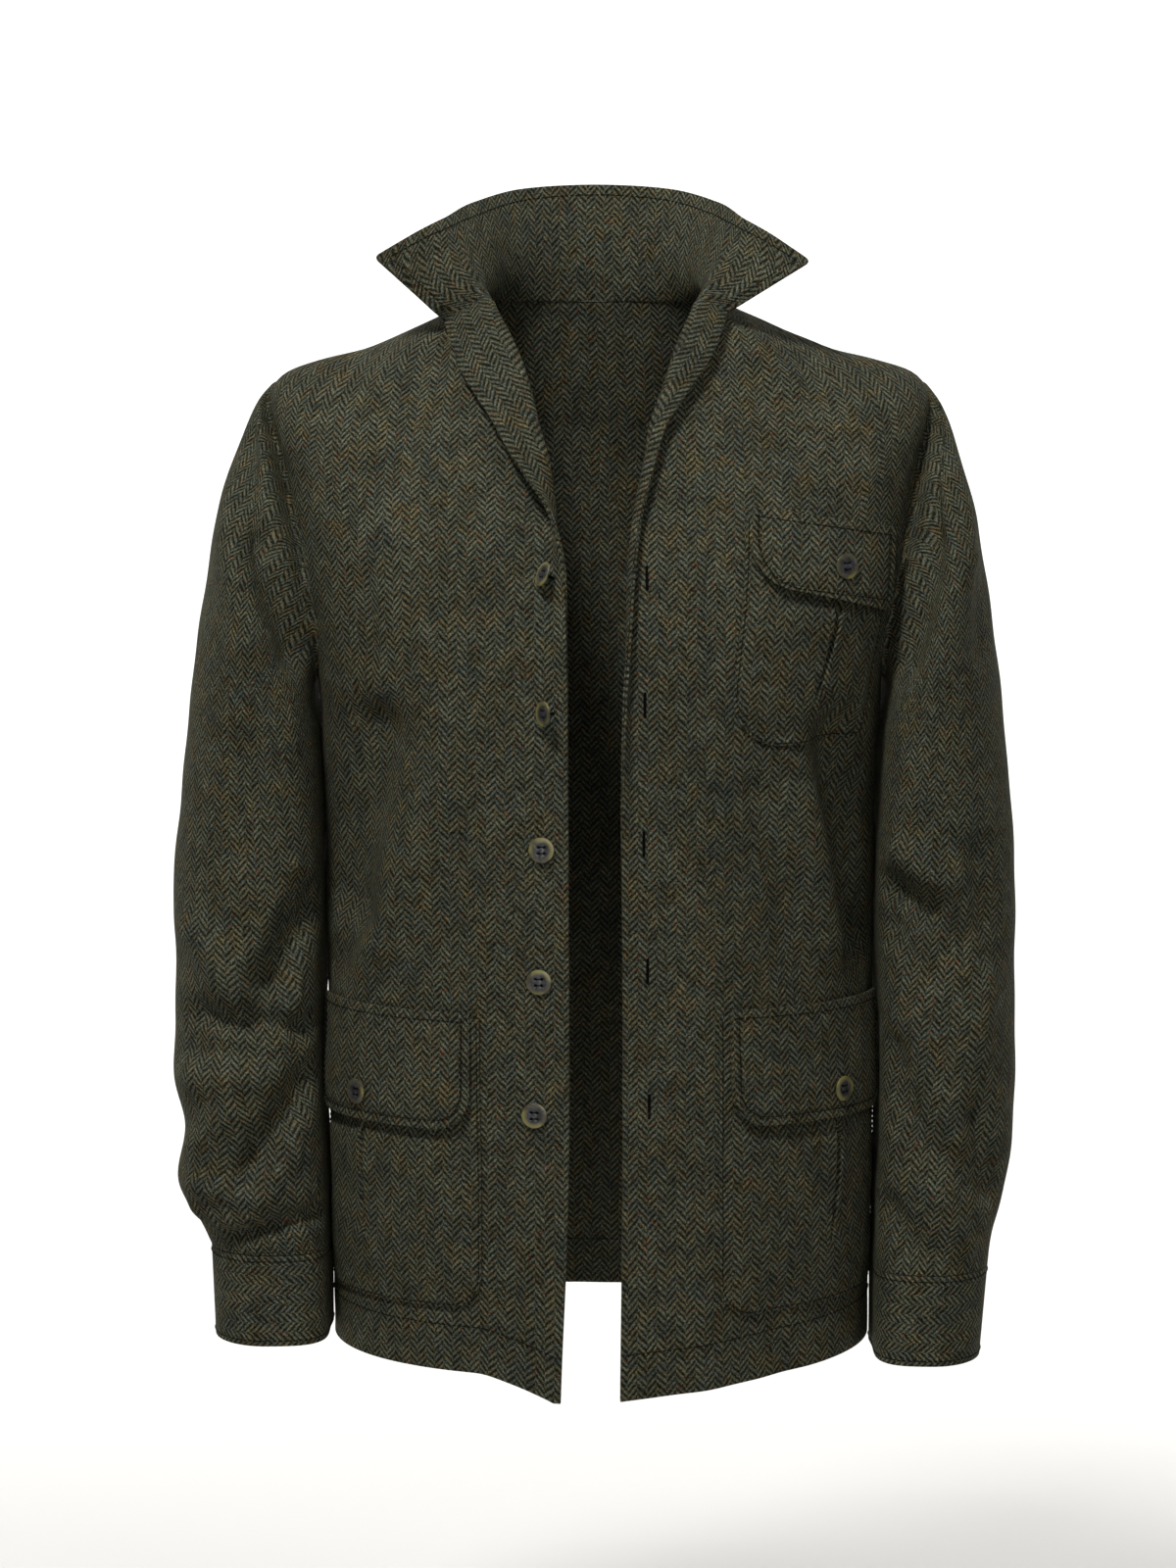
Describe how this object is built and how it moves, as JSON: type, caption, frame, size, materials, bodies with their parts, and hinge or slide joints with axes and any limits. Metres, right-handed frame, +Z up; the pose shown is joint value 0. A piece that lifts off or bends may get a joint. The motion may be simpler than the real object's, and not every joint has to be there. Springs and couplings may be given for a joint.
{
  "type": "shirt jacket",
  "caption": "Open herringbone tweed shirt jacket in its hollow worn form, with a raised pointed collar, flap pockets with pleats and plain cuffs.",
  "frame": {"origin": "inner face of the back panel at the middle of the neck seam, where the garment rests on the wearer's neck", "axes": "+Z up, the front faces -Y, the wearer's left is +X"},
  "size_m": [0.6016, 0.2837, 0.8403],
  "materials": {
    "tweed": "brushed wool herringbone",
    "horn": "satin"
  },
  "bodies": {
    "root": {"back": "tweed", "front_right": "tweed", "front_left": "tweed", "facing_right": "tweed", "facing_left": "tweed", "collar": "tweed", "sleeve_right": "tweed", "sleeve_left": "tweed", "cuff_right": "tweed", "cuff_left": "tweed", "pocket_right": "tweed", "pocket_left": "tweed", "pocket_chest": "tweed", "flap_right": "tweed", "flap_left": "tweed", "flap_chest": "tweed", "button_front_1": "horn", "button_front_2": "horn", "button_front_3": "horn", "button_front_4": "horn", "button_front_5": "horn", "button_flap_right": "horn", "button_flap_left": "horn", "button_flap_chest": "horn"}
  },
  "joints": []
}
